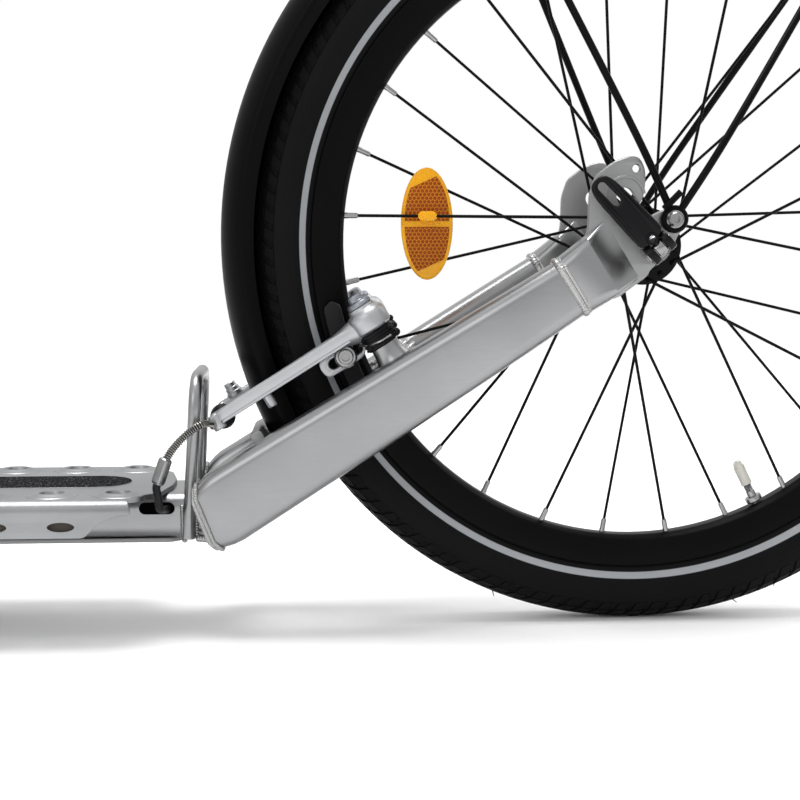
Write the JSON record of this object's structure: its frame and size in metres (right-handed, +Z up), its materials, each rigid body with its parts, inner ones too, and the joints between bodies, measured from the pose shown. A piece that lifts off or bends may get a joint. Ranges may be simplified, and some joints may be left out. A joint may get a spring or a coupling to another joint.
{
  "type": "kick bike",
  "caption": "Adult kick bike with a large front wheel, a small rear wheel, a low perforated footboard, rim brakes, mudguards and a riser handlebar.",
  "frame": {"origin": "on the floor, under the middle of the whole kick bike standing upright with its wheels straight", "axes": "-X forward, -Y the rider's left, +Z up"},
  "size_m": [1.891, 0.6112, 1.0462],
  "materials": {
    "polished_aluminium": "silver aluminium, satin, welded",
    "grip_tape": "dark grit tape, very rough",
    "plain_aluminium": "plain aluminium sheet, satin",
    "bright_steel": "steel, satin",
    "mudguard_plastic": "black plastic, glossy",
    "black_wire": "black steel wire, satin",
    "cable_housing": "black cable housing, semi-gloss",
    "black_anodised": "black anodised aluminium, satin",
    "tyre": "black rubber, matte, fine tread",
    "black_rim": "black painted rim, satin",
    "bright_chrome": "plated steel, bright",
    "amber_plastic": "clear amber plastic, glossy",
    "brake_aluminium": "silver aluminium, bright satin",
    "rubber": "black rubber, matte",
    "rubber_boot": "black rubber boot, matte"
  },
  "bodies": {
    "frame": {"main_frame": "polished_aluminium", "left_stay": "polished_aluminium", "right_stay": "polished_aluminium", "stay_bridge": "polished_aluminium", "guard_bow": "polished_aluminium", "deck_plate": "polished_aluminium", "grip_tape": "grip_tape", "skid_plate": "plain_aluminium", "rear_axle": "bright_steel", "rear_release_cam": "bright_steel", "rear_release_nut": "bright_steel", "rear_mudguard": "mudguard_plastic", "rear_guard_wires_left": "black_wire", "rear_guard_wires_right": "black_wire", "rear_cable_run": "cable_housing", "rear_cable_tail": "cable_housing", "rear_cable_loop": "cable_housing", "lower_cup": "black_anodised", "upper_cup": "black_anodised"},
    "rear_wheel": {"rear_tyre": "tyre", "rear_rim": "black_rim", "rear_hub_spokes": "black_anodised", "rear_valve": "bright_chrome", "rear_reflector": "amber_plastic"},
    "rear_release": {"rear_release_lever": "black_anodised"},
    "rear_arm_left": {"rear_brake_arm_left": "brake_aluminium", "rear_pad_left": "rubber", "rear_guide": "bright_chrome", "rear_brake_link": "rubber_boot"},
    "rear_arm_right": {"rear_brake_arm_right": "brake_aluminium", "rear_pad_right": "rubber"},
    "steering": {"fork": "polished_aluminium", "stem": "black_anodised", "handlebar": "black_anodised", "front_cable": "cable_housing", "left_grip": "rubber", "right_grip": "rubber", "left_lever_mount": "black_anodised", "right_lever_mount": "black_anodised", "front_axle": "bright_steel", "front_release_cam": "bright_steel", "front_release_nut": "bright_steel", "front_mudguard": "mudguard_plastic", "front_guard_wires_left": "black_wire", "front_guard_wires_right": "black_wire"},
    "front_wheel": {"front_tyre": "tyre", "front_rim": "black_rim", "front_hub_spokes": "black_anodised", "front_valve": "bright_chrome", "front_reflector": "amber_plastic"},
    "front_release": {"front_release_lever": "black_anodised"},
    "front_arm_right": {"front_brake_arm_right": "brake_aluminium", "front_pad_right": "rubber", "front_guide": "bright_chrome", "front_brake_link": "rubber_boot"},
    "front_arm_left": {"front_brake_arm_left": "brake_aluminium", "front_pad_left": "rubber"},
    "left_lever": {"left_brake_lever": "black_anodised"},
    "right_lever": {"right_brake_lever": "black_anodised"}
  },
  "joints": [
    {"name": "rear_wheel_spin", "type": "hinge", "parent": "frame", "child": "rear_wheel", "pos_m": [0.7025, 0, 0.243], "axis": [0, 1, 0], "continuous": true},
    {"name": "steering_turn", "type": "hinge", "parent": "frame", "child": "steering", "pos_m": [-0.42472, 0, 0.71156], "axis": [0.3256, 0, 0.9455], "range_deg": [-75, 75], "deforming": ["rear_cable_loop"]},
    {"name": "front_wheel_spin", "type": "hinge", "parent": "steering", "child": "front_wheel", "pos_m": [-0.5975, 0, 0.348], "axis": [0, 1, 0], "continuous": true},
    {"name": "left_lever_pull", "type": "hinge", "parent": "steering", "child": "left_lever", "pos_m": [-0.38756, -0.17016, 1.0226], "axis": [-0.1785, -0.0751, 0.9811], "range_deg": [0, 17], "stiffness_Nm_per_rad": 1.2, "springref_deg": -11.46},
    {"name": "right_lever_pull", "type": "hinge", "parent": "steering", "child": "right_lever", "pos_m": [-0.38756, 0.17016, 1.0226], "axis": [0.1785, -0.0751, -0.9811], "range_deg": [0, 17], "stiffness_Nm_per_rad": 1.2, "springref_deg": -11.46},
    {"name": "rear_left_arm_close", "type": "hinge", "parent": "frame", "child": "rear_arm_left", "pos_m": [0.5431, -0.042, 0.17768], "axis": [0.5312, 0, -0.8472], "range_deg": [0, 3.1], "deforming": ["rear_brake_link", "rear_cable_tail"]},
    {"name": "rear_right_arm_close", "type": "hinge", "parent": "frame", "child": "rear_arm_right", "pos_m": [0.5431, 0.042, 0.17768], "axis": [-0.5312, 0, 0.8472], "range_deg": [0, 3.1]},
    {"name": "front_right_arm_close", "type": "hinge", "parent": "steering", "child": "front_arm_right", "pos_m": [-0.47908, 0.042, 0.60591], "axis": [0.9455, 0, -0.3256], "range_deg": [0, 3.1], "deforming": ["front_brake_link", "front_cable"]},
    {"name": "front_left_arm_close", "type": "hinge", "parent": "steering", "child": "front_arm_left", "pos_m": [-0.47908, -0.042, 0.60591], "axis": [-0.9455, 0, 0.3256], "range_deg": [0, 3.1]},
    {"name": "rear_release_open", "type": "hinge", "parent": "frame", "child": "rear_release", "pos_m": [0.7025, -0.0903, 0.243], "axis": [0.6691, 0, 0.7431], "range_deg": [0, 150]},
    {"name": "front_release_open", "type": "hinge", "parent": "steering", "child": "front_release", "pos_m": [-0.5975, -0.0718, 0.348], "axis": [0.866, 0, 0.5], "range_deg": [0, 150]}
  ],
  "couplings": [
    {"joint": "rear_left_arm_close", "follows": "right_lever_pull", "ratio": 0.18235},
    {"joint": "rear_right_arm_close", "follows": "right_lever_pull", "ratio": 0.18235},
    {"joint": "front_right_arm_close", "follows": "left_lever_pull", "ratio": 0.18235},
    {"joint": "front_left_arm_close", "follows": "left_lever_pull", "ratio": 0.18235}
  ]
}
